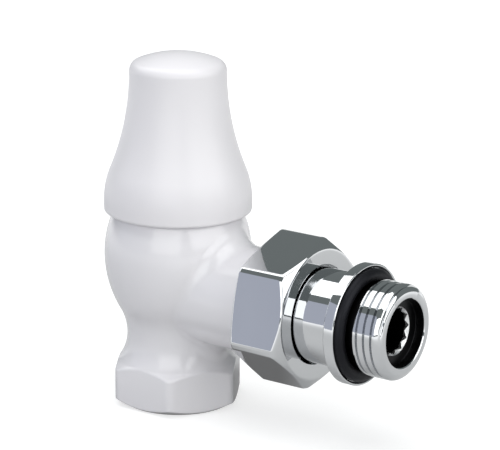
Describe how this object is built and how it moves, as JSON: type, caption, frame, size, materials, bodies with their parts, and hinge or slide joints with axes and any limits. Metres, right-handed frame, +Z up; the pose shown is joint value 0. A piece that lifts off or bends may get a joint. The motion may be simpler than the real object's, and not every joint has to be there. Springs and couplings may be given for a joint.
{
  "type": "manual radiator valve",
  "caption": "White angle-pattern manual radiator valve: bell-shaped handwheel, rounded forged body with a hexagon pipe end, and a chromed union nut with a threaded tailpiece and O-ring.",
  "frame": {"origin": "centre of the inlet mouth, on the underside of the hexagon pipe end", "axes": "+Z up along the spindle to the handwheel, +X out along the outlet to the tailpiece's open end"},
  "size_m": [0.0773, 0.033, 0.0799],
  "materials": {
    "white_enamel": "gloss",
    "white_plastic": "gloss",
    "chrome": "polished",
    "brass": "turned",
    "steel": "satin",
    "black_rubber": "satin"
  },
  "bodies": {
    "valve": {"valve_body": "white_enamel", "bonnet": "brass", "bonnet_o_ring": "black_rubber", "gland_washer": "brass", "gland_bush": "brass", "spindle_o_ring_lower": "black_rubber", "spindle_o_ring_upper": "black_rubber", "gland_nut": "brass"},
    "plug": {"plug": "brass", "plug_clip": "steel", "seal_disc": "black_rubber", "seal_washer": "brass", "seal_screw": "steel"},
    "handwheel": {"handwheel": "white_plastic", "hub_spring_ring": "steel", "spindle": "brass"},
    "tail": {"tailpiece": "chrome", "tailpiece_o_ring": "black_rubber", "union_o_ring": "black_rubber", "union_snap_ring": "steel"},
    "union_nut": {"union_nut": "chrome"}
  },
  "joints": [
    {"name": "plug_lift", "type": "slide", "parent": "valve", "child": "plug", "axis": [0, 0, 1], "range_m": [0, 0.0045]},
    {"name": "handwheel_turn", "type": "hinge", "parent": "plug", "child": "handwheel", "pos_m": [0, 0, 0.06], "axis": [0, 0, 1], "range_deg": [0, 1080]},
    {"name": "union_withdraw", "type": "slide", "parent": "valve", "child": "tail", "axis": [1, 0, 0], "range_m": [0, 0.00726]},
    {"name": "union_nut_turn", "type": "hinge", "parent": "tail", "child": "union_nut", "pos_m": [0.03, 0, 0.027], "axis": [1, 0, 0], "range_deg": [0, 1440]}
  ],
  "couplings": [
    {"joint": "handwheel_turn", "follows": "plug_lift", "rad_per_m": 4188.8},
    {"joint": "union_nut_turn", "follows": "union_withdraw", "rad_per_m": 3463.7}
  ]
}
